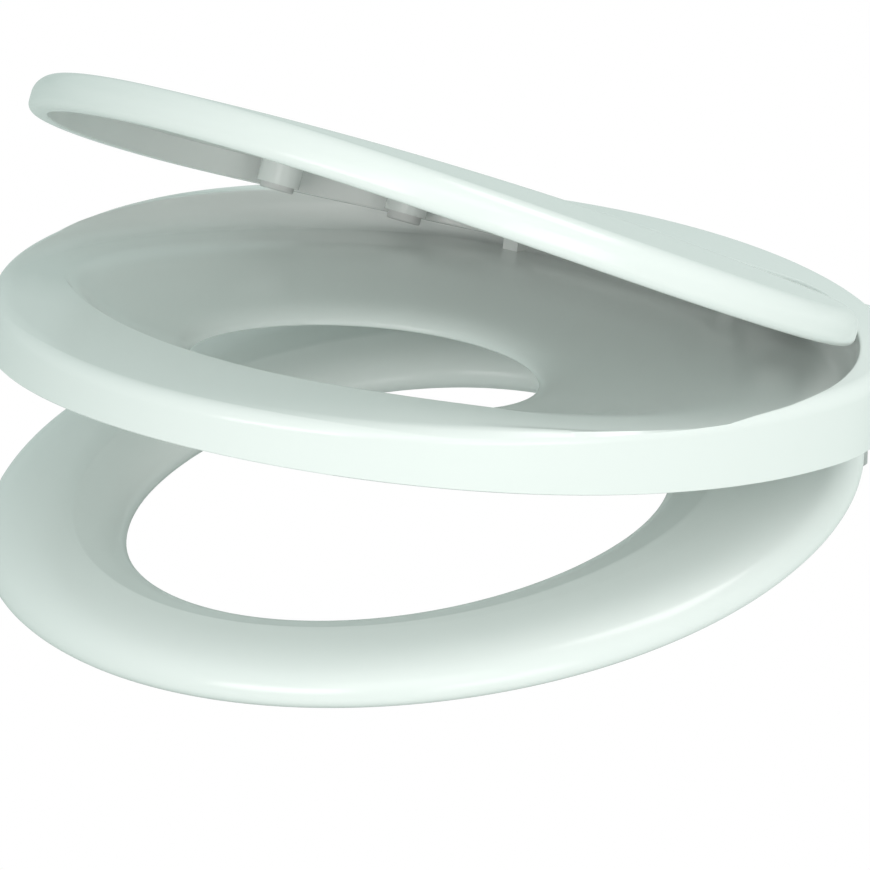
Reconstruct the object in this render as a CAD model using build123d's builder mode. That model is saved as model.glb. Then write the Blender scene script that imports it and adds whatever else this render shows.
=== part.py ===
from build123d import *
import os
from math import cos, radians, sin, sqrt

# Three-part toilet seat: an adult seat ring, a child seat and a lid on two posts fixed to the pan.
# Frame: origin midway between the fixing studs on the pan's deck, +Z up, -Y towards the front.

# Pose: how far the child seat stands open on the adult seat, and the lid on the child seat
child_raise = 10.9
lid_raise = 16.7

# Fixing to the pan
stud_spacing = 155.0
stud_radius = 4.0
thread_radius = 3.8
stud_length = 58.0
stud_depth = 8.0
deck_thickness = 16.0
gasket_thickness = 3.0
gasket_radius = 20.0
cone_radius = 15.0
cone_tip_radius = 9.0
cone_height = 7.0
nut_radius = 9.0
nut_height = 13.0
wing_span = 38.0
wing_thickness = 4.0

# Hinge posts and main hinge
hinge_height = 24.0
post_width = 14.0
flange_radius = 22.0
flange_thickness = 3.0
cap_radius = 19.0
cap_height = 4.0
cap_clearance = 0.3
knuckle_radius = 10.0
lug_width = 11.0
lug_gap = 0.6
pin_radius = 4.0
bush_wall = 2.4
running_clearance = 0.05
push_clearance = 0.02

# Adult seat ring, distances along Y measured from the hinge axis
seat_width = 354.0
seat_front = -462.0
seat_widest = -242.0
seat_back = -13.0
seat_bottom = 9.0
seat_thickness = 20.0
opening_width = 214.0
opening_front = -404.0
opening_widest = -256.0
opening_back = -123.0
seat_wall = 12.0
seat_channel = 11.0
seat_lug_reach = 46.0
seat_lug_height = 13.0
seat_lug_lift = 2.0

# Cross-section of the ring: share of its height, and how far the outline is pulled in or the opening flared
outer_levels = ((0.0, 3.0), (0.15, 0.0), (0.45, 0.8), (0.7, 5.0), (0.88, 13.0), (0.97, 24.0), (1.0, 35.0))
inner_levels = ((-0.05, 2.5), (0.15, 0), (0.45, 0.8), (0.68, 4.8), (0.84, 11.0), (0.94, 18.0), (1.04, 26.0))

# Child seat, in its own closed plane through the hinge axis
child_width = 381.0
child_front = -464.0
child_widest = -208.0
child_back = -34.0
child_low = 8.0
child_skirt = 32.0
child_wall = 5.0
skirt_wall = 6.5
child_edge = 6.0
child_draft = 3.0
child_lip = 5.0
arch_radius = 1700.0
dome_radius = 3000.0
dome_crest = -190.0
child_opening_width = 148.0
child_opening_front = -372.0
child_opening_widest = -300.0
child_opening_back = -212.0
dish_width = 304.0
dish_front = -402.0
dish_widest = -225.0
dish_back = -122.0
rim_land = 8.0
recess_depth = 21.0
recess_back = -81.0
recess_rise = 3.0
leaf_widest = -240.0
leaf_back = -47.0
recess_round = 11.0
child_lug_reach = 66.0
child_lug_rise = 12.0
child_lug_height = 16.0
scoop_radius = 14.0
scoop_rise = 6.0

# Dish of the child seat: height above the hinge axis and share of the way from the opening to the rim
dish_levels = (
    (-20.0, 0.0), (7.0, 0.0), (9.0, 0.015), (11.0, 0.045), (12.6, 0.09), (13.8, 0.16), (15.0, 0.28),
    (16.4, 0.44), (18.2, 0.62), (20.4, 0.8), (22.8, 0.95), (25.0, 1.06), (27.4, 1.15), (29.2, 1.22),
    (30.3, 1.27), (31.2, 1.3), (60.0, 1.3),
)

# Lid, hinged in the child seat's recess
lid_gap = 2.0
lid_edge = 16.2
lid_crown = 4.1
lid_arch_radius = 1413.0
lid_across_radius = 1030.0
lid_along_radius = 4200.0
lid_wall = 4.0
lid_rim = 9.0
lid_top_round = 8.0
lid_foot_round = 4.5
lid_corner = 42.0
lid_axis_inset = 10.0
lid_axis_rise = 7.0
lid_back_gap = 1.6
lid_rest = 2.6
ear_spacing = 120.0
ear_width = 8.0
ear_radius = 4.6
ear_gap = 0.6
rib_width = 6.4
rib_reach = 9.0
rib_height = 6.0
rib_foot = 1.0
rib_back = 3.0
lid_pin_radius = 2.0

# Rubber buffers: place across (share of the leaf's width) and along the leaf, boss foot and boss height
buffer_radius = 8.0
boss_radius = 10.0
buffer_gap = 0.4
lid_buffer_height = 5.5
peg_radius = 2.5
peg_length = 3.0
seat_buffers = (
    ("front", 0.198 * seat_width, seat_front + 55.0),
    ("rear", 0.322 * seat_width, seat_back - 137.0),
)
child_buffers = (
    ("front", 0.157 * child_width, child_front + 46.0, 9.0, 18.0),
    ("rear", 0.289 * child_width, child_back - 71.0, 9.5, 5.0),
)
lid_buffers = (
    ("side", 0.367 * child_width, child_widest + 33.0, 14.5),
    ("rear", 0.276 * child_width, recess_back - 37.0, 14.0),
)

# Worked-out places
post_x = stud_spacing / 2
post_foot = gasket_thickness
post_floor = post_foot + flange_thickness
bush_radius = pin_radius + running_clearance + bush_wall
seat_lug_place = post_x - post_width / 2 - lug_gap - lug_width / 2
child_lug_place = post_x + post_width / 2 + lug_gap + lug_width / 2
pin_length = post_width + 2 * (lug_gap + lug_width)
lid_pin_length = ear_width + 2 * (ear_gap + rib_width)
seat_top = seat_bottom + seat_thickness - hinge_height
child_top = child_low + child_skirt
recess_floor = child_top - recess_depth
lid_low = recess_floor + lid_buffer_height
lid_back = recess_back - lid_back_gap
lid_axis_y = lid_back - lid_axis_inset
lid_axis_z = lid_low + lid_axis_rise
lid_inset = rim_land + lid_gap
recess_corner = lid_corner + lid_gap
lid_top = lid_low + lid_edge + lid_crown
lid_crest = (lid_back + child_front + lid_inset) / 2
deep = 200.0
wide = 2 * child_width

# Planes of the three leaves: the hinge axis runs along X, the front of each leaf points to -Y
seat_plane = Plane.XY.offset(hinge_height)
child_plane = Plane(
    origin=(0, 0, hinge_height),
    x_dir=(1, 0, 0),
    z_dir=(0, sin(radians(child_raise)), cos(radians(child_raise))),
)
floor_plane = Plane(
    origin=child_plane.from_local_coords((0, lid_axis_y, recess_floor)),
    x_dir=(1, 0, 0),
    z_dir=(0, sin(radians(child_raise + recess_rise)), cos(radians(child_raise + recess_rise))),
)
lid_tilt = radians(child_raise + lid_raise)
lid_axis_plane = Plane(
    origin=child_plane.from_local_coords((0, lid_axis_y, lid_axis_z)),
    x_dir=(1, 0, 0),
    z_dir=(0, sin(lid_tilt), cos(lid_tilt)),
)
lid_plane = Plane(
    origin=lid_axis_plane.from_local_coords((0, -lid_axis_y, -lid_axis_z)),
    x_dir=(1, 0, 0),
    z_dir=lid_axis_plane.z_dir,
)

os.makedirs("parts", exist_ok=True)


def oval(width, front, widest, back, inset=0.0):
    """Egg outline of two half ellipses that meet at the widest line, pulled in by the inset."""
    half = width / 2 - inset
    with BuildSketch() as shape:
        with BuildLine():
            EllipticalCenterArc((0, widest), half, back - widest - inset, 0, arc_size=180)
            EllipticalCenterArc((0, widest), half, widest - front - inset, 180, arc_size=180)
        make_face()
    return shape.sketch


def seat_oval(inset=0.0):
    """Outline of the adult seat."""
    return oval(seat_width, seat_front, seat_widest, seat_back, inset)


def opening_oval(inset=0.0):
    """Outline of the adult seat's opening."""
    return oval(opening_width, opening_front, opening_widest, opening_back, inset)


def child_oval(inset=0.0):
    """Outline of the child seat."""
    return oval(child_width, child_front, child_widest, child_back, inset)


def leaf_oval(inset, back, corner):
    """Outline of the recess or the lid: an egg cut straight across at the back with rounded corners."""
    with BuildSketch() as shape:
        add(oval(child_width, child_front, leaf_widest, leaf_back, inset))
        with Locations((0, back)):
            Rectangle(wide, wide, align=(Align.CENTER, Align.MIN), mode=Mode.SUBTRACT)
        fillet(shape.vertices().group_by(Axis.Y)[-1], corner)
    return shape.sketch


def dish_oval(share, outset=0.0):
    """Outline of the dish between the child opening (share 0) and its rim (share 1)."""
    return oval(
        child_opening_width + share * (dish_width - child_opening_width),
        child_opening_front + share * (dish_front - child_opening_front),
        child_opening_widest + share * (dish_widest - child_opening_widest),
        child_opening_back + share * (dish_back - child_opening_back),
        -outset,
    )


def across(base, y=0.0):
    """Plane across a leaf at a place along its length: X to the right, Z up, facing the front."""
    return Plane(origin=base.from_local_coords((0, y, 0)), x_dir=base.x_dir, z_dir=-base.y_dir)


def aside(base, x=0.0):
    """Plane along a leaf at a place across its width: Y to the back, Z up, facing right."""
    return Plane(origin=base.from_local_coords((x, 0, 0)), x_dir=base.y_dir, z_dir=base.x_dir)


def under_dome(base, crest_y, top, across_radius, along_radius):
    """Everything below a surface that is arched across the leaf and domed along it."""
    drop = arch_drop(across_radius, child_width)
    sweep = 24.0
    lean = radians(sweep / 2)
    facing = base.y_dir * cos(lean) + base.z_dir * sin(lean)
    centre = base.from_local_coords((0, crest_y, top - along_radius))
    with BuildPart() as below:
        with BuildSketch(Plane(origin=centre, x_dir=base.x_dir, z_dir=-facing)):
            with BuildLine():
                ThreePointArc(
                    (-child_width, along_radius - drop),
                    (0, along_radius),
                    (child_width, along_radius - drop),
                )
                Polyline(
                    (child_width, along_radius - drop),
                    (child_width, along_radius - deep),
                    (-child_width, along_radius - deep),
                    (-child_width, along_radius - drop),
                )
            make_face()
        revolve(axis=Axis(centre, -base.x_dir), revolution_arc=sweep)
    return below.part


def arch_drop(radius, x):
    """How far an arch across the leaf falls from its crest to a place across it."""
    return radius - sqrt(radius**2 - x**2)


def under_arch(base, crest, radius):
    """Everything below a surface that is arched across the leaf and straight along it."""
    drop = arch_drop(radius, child_width)
    with BuildPart() as below:
        with BuildSketch(across(base, deep)):
            with BuildLine():
                ThreePointArc((-child_width, crest - drop), (0, crest), (child_width, crest - drop))
                Polyline(
                    (child_width, crest - drop),
                    (child_width, crest - deep),
                    (-child_width, crest - deep),
                    (-child_width, crest - drop),
                )
            make_face()
        extrude(amount=wide + deep)
    return below.part


def dish_body(drop, outset):
    """Body that fills the dish and the opening, lowered and widened for the underside of its wall."""
    with BuildPart() as body:
        for level, share in dish_levels:
            with BuildSketch(child_plane.offset(level - drop)):
                add(dish_oval(share, outset))
        loft(ruled=True)
    return body.part


def recess_body(outset):
    """Body that fills the recess for the lid above its arched floor, widened for its wall."""
    with BuildPart() as body:
        with BuildSketch(child_plane):
            add(leaf_oval(rim_land - outset, recess_back + outset, recess_corner + outset))
        extrude(amount=deep / 2)
        add(under_arch(floor_plane, -outset, arch_radius), mode=Mode.SUBTRACT)
        foot = body.faces().sort_by(Axis(child_plane.origin, child_plane.z_dir))[0]
        fillet(foot.edges(), recess_round + outset)
    return body.part


def lug_profile(reach, low, high):
    """Side view of a hinge lug: a round knuckle on the axis and an arm that runs forward into the leaf."""
    with BuildSketch() as shape:
        with BuildLine():
            Polyline((0, knuckle_radius), (-reach, high), (-reach, low), (0, -knuckle_radius), close=True)
        make_face()
        Circle(knuckle_radius)
    return shape.sketch


def lid_boss(x):
    """Height of the lid's arched underside at a place across it, where a buffer's boss ends."""
    return lid_low - arch_drop(lid_arch_radius, x)


def buffer(base, x, y, top, height):
    """Rubber buffer: a stud with a rounded foot that hangs below its boss, with a peg that holds it."""
    with BuildPart() as stud:
        with BuildSketch(base.offset(top)):
            with Locations((x, y)):
                Circle(buffer_radius)
        extrude(amount=-height)
        foot = stud.faces().sort_by(Axis(base.origin, base.z_dir))[0]
        fillet(foot.edges(), height / 3)
        with BuildSketch(base.offset(top)):
            with Locations((x, y)):
                Circle(peg_radius)
        extrude(amount=peg_length)
    return stud.part


def save(part, name):
    """Label a finished piece and write it to its own file."""
    part.label = name
    export_step(part, f"parts/{name}.step")


# Hinge posts, pins, bushes and the fixings through the pan, one set on each side
for side, name in ((-1, "left"), (1, "right")):
    x = side * post_x

    with BuildPart() as post:
        with BuildSketch(Plane.XY.offset(post_foot)):
            with Locations((x, 0)):
                Circle(flange_radius)
        extrude(amount=flange_thickness)
        with BuildSketch(aside(seat_plane, x - post_width / 2)):
            Circle(knuckle_radius)
            with Locations((0, (post_foot - hinge_height) / 2)):
                Rectangle(2 * knuckle_radius, hinge_height - post_foot)
        extrude(amount=post_width)
        with BuildSketch(aside(seat_plane, x - post_width / 2)):
            Circle(pin_radius + push_clearance)
        extrude(amount=post_width, mode=Mode.SUBTRACT)
        with BuildSketch(Plane.XY.offset(post_foot)):
            with Locations((x, 0)):
                Circle(thread_radius + push_clearance)
        extrude(amount=stud_depth, mode=Mode.SUBTRACT)
    save(post.part, f"{name}_hinge_post")

    with BuildPart() as cap:
        with BuildSketch(Plane.XY.offset(post_floor)):
            with Locations((x, 0)):
                Circle(cap_radius)
                Rectangle(
                    post_width + 2 * cap_clearance,
                    2 * (knuckle_radius + cap_clearance),
                    mode=Mode.SUBTRACT,
                )
        extrude(amount=cap_height)
        chamfer(cap.edges().group_by(Axis.Z)[-1].filter_by(GeomType.CIRCLE), cap_height / 3)
    save(cap.part, f"{name}_post_cap")

    with BuildPart() as gasket:
        with BuildSketch():
            with Locations((x, 0)):
                Circle(gasket_radius)
                Circle(stud_radius + push_clearance, mode=Mode.SUBTRACT)
        extrude(amount=gasket_thickness)
    save(gasket.part, f"{name}_base_gasket")

    with BuildPart() as stud:
        with BuildSketch(Plane.XY.offset(post_foot + stud_depth - stud_length)):
            with Locations((x, 0)):
                Circle(thread_radius)
        extrude(amount=stud_length)
        chamfer(stud.edges().group_by(Axis.Z)[0], thread_radius / 5)
        with BuildSketch():
            with Locations((x, 0)):
                Circle(stud_radius)
        extrude(amount=-deck_thickness)
    save(stud.part, f"{name}_fixing_stud")

    with BuildPart() as cone:
        for drop, radius in ((0, cone_radius), (cone_height, cone_tip_radius)):
            with BuildSketch(Plane.XY.offset(-deck_thickness - drop)):
                with Locations((x, 0)):
                    Circle(radius)
        loft()
        with BuildSketch(Plane.XY.offset(-deck_thickness)):
            with Locations((x, 0)):
                Circle(thread_radius + push_clearance)
        extrude(amount=-cone_height, mode=Mode.SUBTRACT)
    save(cone.part, f"{name}_cone_washer")

    with BuildPart() as nut:
        with BuildSketch(Plane.XY.offset(-deck_thickness - cone_height)):
            with Locations((x, 0)):
                Circle(nut_radius)
        extrude(amount=-nut_height)
        with BuildSketch(Plane.XZ.offset(-wing_thickness / 2)):
            with Locations((x, -deck_thickness - cone_height - nut_height / 2)):
                SlotOverall(wing_span, nut_height)
        extrude(amount=wing_thickness)
        with BuildSketch(Plane.XY.offset(-deck_thickness - cone_height)):
            with Locations((x, 0)):
                Circle(thread_radius + push_clearance)
        extrude(amount=-nut_height, mode=Mode.SUBTRACT)
    save(nut.part, f"{name}_wing_nut")

    with BuildPart() as pin:
        with BuildSketch(aside(seat_plane, x - pin_length / 2)):
            Circle(pin_radius)
        extrude(amount=pin_length)
        chamfer(pin.edges().filter_by(GeomType.CIRCLE), pin_radius / 8)
    save(pin.part, f"{name}_hinge_pin")

    leaves = (("seat", seat_plane, seat_lug_place), ("child", child_plane, child_lug_place))
    for piece, base, place in leaves:
        with BuildPart() as bush:
            with BuildSketch(aside(base, side * place - lug_width / 2)):
                Circle(bush_radius)
                Circle(pin_radius + running_clearance, mode=Mode.SUBTRACT)
            extrude(amount=lug_width)
        save(bush.part, f"{name}_{piece}_bush")

    with BuildPart() as lid_pin:
        with BuildSketch(aside(lid_axis_plane, side * ear_spacing / 2 - lid_pin_length / 2)):
            Circle(lid_pin_radius)
        extrude(amount=lid_pin_length)
    save(lid_pin.part, f"{name}_lid_pin")

    for place, across_x, along_y in seat_buffers:
        foot = buffer(Plane.XY, side * across_x, along_y, seat_bottom, seat_bottom)
        save(foot, f"{name}_{place}_seat_buffer")
    for place, across_x, along_y, boss, reach in child_buffers:
        height = boss - seat_top - buffer_gap
        save(buffer(child_plane, side * across_x, along_y, boss, height), f"{name}_{place}_child_buffer")
    for place, across_x, along_y, reach in lid_buffers:
        boss = lid_boss(across_x)
        gain = (lid_axis_y - along_y) * radians(recess_rise - lid_rest)
        sag = arch_drop(lid_arch_radius, across_x) - arch_drop(arch_radius, across_x - buffer_radius)
        height = lid_buffer_height - gain - sag - buffer_gap
        save(buffer(lid_plane, side * across_x, along_y, boss, height), f"{name}_{place}_lid_buffer")

# Adult seat: a ring with a crowned top, rolled inner and outer edges, an open channel below and two lugs
with BuildPart() as seat_opening:
    for level, flare in inner_levels:
        with BuildSketch(Plane.XY.offset(seat_bottom + level * seat_thickness)):
            add(opening_oval(-flare))
    loft(ruled=True)

with BuildPart() as adult_seat:
    for level, inset in outer_levels:
        with BuildSketch(Plane.XY.offset(seat_bottom + level * seat_thickness)):
            add(seat_oval(inset))
    loft(ruled=True)
    add(seat_opening.part, mode=Mode.SUBTRACT)
    with BuildSketch(Plane.XY.offset(seat_bottom)):
        add(seat_oval(seat_wall))
        add(opening_oval(-seat_wall), mode=Mode.SUBTRACT)
    extrude(amount=seat_channel, mode=Mode.SUBTRACT)
    for side in (-1, 1):
        lug_low = seat_bottom + seat_lug_lift - hinge_height
        with BuildSketch(aside(seat_plane, side * seat_lug_place - lug_width / 2)):
            add(lug_profile(seat_lug_reach, lug_low, lug_low + seat_lug_height))
        extrude(amount=lug_width)
        with BuildSketch(aside(seat_plane, side * seat_lug_place - lug_width / 2)):
            Circle(bush_radius + push_clearance)
        extrude(amount=lug_width, mode=Mode.SUBTRACT)
        for place, across_x, along_y in seat_buffers:
            with BuildSketch(Plane.XY.offset(seat_bottom)):
                with Locations((side * across_x, along_y)):
                    Circle(boss_radius)
            extrude(amount=seat_channel)
            with BuildSketch(Plane.XY.offset(seat_bottom)):
                with Locations((side * across_x, along_y)):
                    Circle(peg_radius + push_clearance)
            extrude(amount=peg_length, mode=Mode.SUBTRACT)
save(adult_seat.part, "adult_seat")

# Child seat: a skirted shell with a recess for the lid and a dish that leads to the smaller opening
with BuildPart() as child_hollow:
    with BuildSketch(child_plane.offset(-deep / 4)):
        add(child_oval(skirt_wall))
    extrude(amount=deep)
    add(
        under_dome(child_plane, dome_crest, child_top - child_wall, arch_radius, dome_radius),
        mode=Mode.INTERSECT,
    )
    add(recess_body(child_wall), mode=Mode.SUBTRACT)
    add(dish_body(child_wall, child_wall), mode=Mode.SUBTRACT)

with BuildPart() as dish_wall:
    add(dish_body(child_wall, child_wall))
    with BuildSketch(child_plane.offset(child_lip)):
        Rectangle(2 * wide, 2 * wide)
    extrude(amount=child_low + buffer_gap - child_lip, mode=Mode.INTERSECT)

with BuildPart() as child_seat:
    for level, inset in ((-deep / 4, 0.0), (deep / 4, child_draft)):
        with BuildSketch(child_plane.offset(level)):
            add(child_oval(inset))
    loft(ruled=True)
    add(under_dome(child_plane, dome_crest, child_top, arch_radius, dome_radius), mode=Mode.INTERSECT)
    fillet(child_seat.faces().sort_by(Axis(child_plane.origin, child_plane.z_dir))[-1].edges(), child_edge)
    add(under_arch(child_plane, child_low, arch_radius), mode=Mode.SUBTRACT)
    add(dish_wall.part)
    add(recess_body(0.0), mode=Mode.SUBTRACT)
    add(dish_body(0.0, 0.0), mode=Mode.SUBTRACT)
    add(child_hollow.part, mode=Mode.SUBTRACT)
    with Locations(child_plane.location * Location((0, recess_back, child_top + scoop_rise))):
        Sphere(scoop_radius, mode=Mode.SUBTRACT)
    for side in (-1, 1):
        with BuildSketch(aside(child_plane, side * child_lug_place - lug_width / 2)):
            add(lug_profile(child_lug_reach, child_lug_rise, child_lug_rise + child_lug_height))
        extrude(amount=lug_width)
        with BuildSketch(aside(child_plane, side * child_lug_place - lug_width / 2)):
            Circle(bush_radius + push_clearance)
        extrude(amount=lug_width, mode=Mode.SUBTRACT)
        with BuildSketch(aside(child_plane, side * ear_spacing / 2 - ear_width / 2)):
            with Locations((lid_axis_y, lid_axis_z)):
                Circle(ear_radius)
            with Locations((lid_axis_y, (recess_floor - child_wall / 2 + lid_axis_z) / 2)):
                Rectangle(2 * ear_radius, lid_axis_z - recess_floor + child_wall / 2)
        extrude(amount=ear_width)
        with BuildSketch(aside(child_plane, side * ear_spacing / 2 - ear_width / 2)):
            with Locations((lid_axis_y, lid_axis_z)):
                Circle(lid_pin_radius + running_clearance)
        extrude(amount=ear_width, mode=Mode.SUBTRACT)
        for place, across_x, along_y, boss, reach in child_buffers:
            with BuildSketch(child_plane.offset(boss)):
                with Locations((side * across_x, along_y)):
                    Circle(boss_radius)
            extrude(amount=reach)
            with BuildSketch(child_plane.offset(boss)):
                with Locations((side * across_x, along_y)):
                    Circle(peg_radius + push_clearance)
            extrude(amount=peg_length, mode=Mode.SUBTRACT)
save(child_seat.part, "child_seat")

# Lid: a thick domed shell with rounded edges and an open underside, with ribs that hold the hinge pins
with BuildPart() as lid_hollow:
    with BuildSketch(lid_plane):
        add(leaf_oval(lid_inset + lid_rim, lid_back - lid_rim, lid_corner - lid_rim))
    extrude(amount=deep / 2)
    add(
        under_dome(lid_plane, lid_crest, lid_top - lid_wall, lid_across_radius, lid_along_radius),
        mode=Mode.INTERSECT,
    )

with BuildPart() as lid_posts:
    for place, across_x, along_y, reach in lid_buffers:
        boss = lid_boss(across_x)
        with BuildSketch(lid_plane.offset(boss)):
            with Locations((-across_x, along_y), (across_x, along_y)):
                Circle(boss_radius)
        extrude(amount=reach)
        with BuildSketch(lid_plane.offset(boss)):
            with Locations((-across_x, along_y), (across_x, along_y)):
                Circle(peg_radius + push_clearance)
        extrude(amount=peg_length, mode=Mode.SUBTRACT)

with BuildPart() as lid:
    with BuildSketch(lid_plane):
        add(leaf_oval(lid_inset, lid_back, lid_corner))
    extrude(amount=deep / 2)
    add(under_dome(lid_plane, lid_crest, lid_top, lid_across_radius, lid_along_radius), mode=Mode.INTERSECT)
    add(under_arch(lid_plane, lid_low, lid_arch_radius), mode=Mode.SUBTRACT)
    up = Axis(lid_plane.origin, lid_plane.z_dir)
    fillet(lid.faces().sort_by(up)[-1].edges(), lid_top_round)
    fillet(lid.faces().sort_by(up)[0].edges(), lid_foot_round)
    add(lid_hollow.part, mode=Mode.SUBTRACT)
    for side in (-1, 1):
        ear_side = side * ear_spacing / 2 - ear_width / 2 - ear_gap
        with BuildSketch(aside(lid_axis_plane, ear_side - rib_width)):
            with Locations((-rib_reach, rib_foot - lid_axis_rise)):
                Rectangle(rib_reach + rib_back, lid_axis_rise - rib_foot + rib_height, align=Align.MIN)
        extrude(amount=lid_pin_length)
        with BuildSketch(aside(lid_axis_plane, ear_side - rib_width)):
            Circle(lid_pin_radius + push_clearance)
        extrude(amount=lid_pin_length, mode=Mode.SUBTRACT)
        with BuildSketch(aside(lid_axis_plane, ear_side)):
            with Locations((-ear_radius - ear_gap, ear_radius + ear_gap)):
                Rectangle(deep, deep, align=(Align.MIN, Align.MAX))
        extrude(amount=ear_width + 2 * ear_gap, mode=Mode.SUBTRACT)
    add(lid_posts.part)
save(lid.part, "lid")
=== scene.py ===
"""Looks of a three-leaf toilet seat: adult ring, child seat and lid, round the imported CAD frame."""
import logging
import math
from dataclasses import dataclass, field
from enum import Enum
from typing import Callable

import bpy
import numpy as np
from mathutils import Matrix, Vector

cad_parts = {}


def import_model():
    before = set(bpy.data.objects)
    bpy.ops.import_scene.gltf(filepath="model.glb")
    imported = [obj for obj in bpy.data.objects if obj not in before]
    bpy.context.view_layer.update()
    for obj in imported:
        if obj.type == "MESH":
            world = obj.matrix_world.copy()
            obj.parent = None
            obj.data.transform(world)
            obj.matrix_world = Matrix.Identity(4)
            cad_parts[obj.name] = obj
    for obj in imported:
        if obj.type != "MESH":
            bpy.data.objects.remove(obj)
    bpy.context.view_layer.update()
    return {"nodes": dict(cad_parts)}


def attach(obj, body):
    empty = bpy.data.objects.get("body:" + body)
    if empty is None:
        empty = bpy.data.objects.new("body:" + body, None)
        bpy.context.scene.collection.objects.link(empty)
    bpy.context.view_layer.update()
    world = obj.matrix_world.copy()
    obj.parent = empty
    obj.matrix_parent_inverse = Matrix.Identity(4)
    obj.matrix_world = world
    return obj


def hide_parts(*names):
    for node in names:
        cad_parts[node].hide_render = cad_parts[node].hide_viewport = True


log = logging.getLogger("toilet_seat")

MM = 0.001
CHILD_RAISE = 10.9
LID_RAISE = 16.7
HINGE_HEIGHT = 24.0
LID_AXIS = (-92.6, 31.5)
ARCH = 1700.0
LID_ARCH = 1413.0
LUG_WIDTH = 11.0
BUSH_BORE = 6.47
BOSS_RADIUS = 10.0
EAR_PLACE = 60.0
EAR_WIDTH = 8.0
EAR_RADIUS = 4.6


class Sheen(Enum):
    """How a surface shines: roughness and coat weight."""

    GLOSS = (0.16, 0.35)
    SATIN = (0.32, 0.1)
    MATTE = (0.6, 0.0)
    METAL = (0.3, 0.0)


def skin_group() -> bpy.types.ShaderNodeTree:
    """Shared surface effect: a broad, faint mottle of the colour, and a fine grain in roughness and height.

    Returns:
        The node group, built once.
    """
    found = bpy.data.node_groups.get("moulded_skin")
    if found:
        return found
    group = bpy.data.node_groups.new("moulded_skin", "ShaderNodeTree")
    face = group.interface
    face.new_socket("Color", in_out="INPUT", socket_type="NodeSocketColor")
    for name in ("Roughness", "Mottle", "Spread", "Grain"):
        face.new_socket(name, in_out="INPUT", socket_type="NodeSocketFloat")
    face.new_socket("Stretch", in_out="INPUT", socket_type="NodeSocketVector")
    face.new_socket("Color", in_out="OUTPUT", socket_type="NodeSocketColor")
    for name in ("Roughness", "Height"):
        face.new_socket(name, in_out="OUTPUT", socket_type="NodeSocketFloat")
    nodes, link = group.nodes, group.links.new
    given, out = nodes.new("NodeGroupInput"), nodes.new("NodeGroupOutput")
    place = nodes.new("ShaderNodeTexCoord")
    stretch = nodes.new("ShaderNodeVectorMath")
    stretch.operation = "MULTIPLY"
    link(place.outputs["Object"], stretch.inputs[0])
    link(given.outputs["Stretch"], stretch.inputs[1])
    broad, fine = nodes.new("ShaderNodeTexNoise"), nodes.new("ShaderNodeTexNoise")
    broad.inputs["Scale"].default_value = 9.0
    fine.inputs["Detail"].default_value = 3.0
    link(place.outputs["Object"], broad.inputs["Vector"])
    link(stretch.outputs[0], fine.inputs["Vector"])
    link(given.outputs["Grain"], fine.inputs["Scale"])
    shade, tone = nodes.new("ShaderNodeMath"), nodes.new("ShaderNodeMath")
    shade.operation, tone.operation = "MULTIPLY", "SUBTRACT"
    link(broad.outputs["Fac"], shade.inputs[0])
    link(given.outputs["Mottle"], shade.inputs[1])
    tone.inputs[0].default_value = 1.0
    link(shade.outputs[0], tone.inputs[1])
    tint = nodes.new("ShaderNodeVectorMath")
    tint.operation = "SCALE"
    link(given.outputs["Color"], tint.inputs[0])
    link(tone.outputs[0], tint.inputs["Scale"])
    even, rough = nodes.new("ShaderNodeMath"), nodes.new("ShaderNodeMath")
    even.operation, rough.operation = "SUBTRACT", "MULTIPLY_ADD"
    link(fine.outputs["Fac"], even.inputs[0])
    even.inputs[1].default_value = 0.5
    link(even.outputs[0], rough.inputs[0])
    link(given.outputs["Spread"], rough.inputs[1])
    link(given.outputs["Roughness"], rough.inputs[2])
    link(tint.outputs[0], out.inputs["Color"])
    link(rough.outputs[0], out.inputs["Roughness"])
    link(fine.outputs["Fac"], out.inputs["Height"])
    return group


@dataclass(frozen=True)
class Finish:
    """One finish of the object.

    Args:
        name: material name.
        slot: name of a material slot; not used.
        color: base colour, linear RGB.
        sheen: how it shines.
        grain: fineness of the surface grain, cycles per metre.
        relief: strength of the grain in height.
        mottle: how much the colour varies.
        stretch: how the grain is drawn out along each axis.
        metallic: 1 for bare metal.
    """

    name: str
    slot: str
    color: tuple[float, float, float]
    sheen: Sheen
    grain: float
    relief: float
    mottle: float = 0.03
    stretch: tuple[float, float, float] = (1.0, 1.0, 1.0)
    metallic: float = 0.0

    def material(self) -> bpy.types.Material:
        """Build the material once.

        Returns:
            The material with this finish.
        """
        found = bpy.data.materials.get(self.name)
        if found:
            return found
        made = bpy.data.materials.new(self.name)
        made.use_nodes = True
        nodes, link = made.node_tree.nodes, made.node_tree.links.new
        shader = nodes["Principled BSDF"]
        shader.inputs["Coat Weight"].default_value = self.sheen.value[1]
        shader.inputs["Coat Roughness"].default_value = 0.06
        shader.inputs["Metallic"].default_value = self.metallic
        skin = nodes.new("ShaderNodeGroup")
        skin.node_tree = skin_group()
        skin.inputs["Color"].default_value = (*self.color, 1.0)
        skin.inputs["Roughness"].default_value = self.sheen.value[0]
        skin.inputs["Spread"].default_value = self.sheen.value[0] * 0.35
        skin.inputs["Mottle"].default_value = self.mottle
        skin.inputs["Grain"].default_value = self.grain
        skin.inputs["Stretch"].default_value = self.stretch
        bump = nodes.new("ShaderNodeBump")
        bump.inputs["Strength"].default_value = self.relief
        bump.inputs["Distance"].default_value = 0.0004
        link(skin.outputs["Color"], shader.inputs["Base Color"])
        link(skin.outputs["Roughness"], shader.inputs["Roughness"])
        link(skin.outputs["Height"], bump.inputs["Height"])
        link(bump.outputs["Normal"], shader.inputs["Normal"])
        return made


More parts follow.
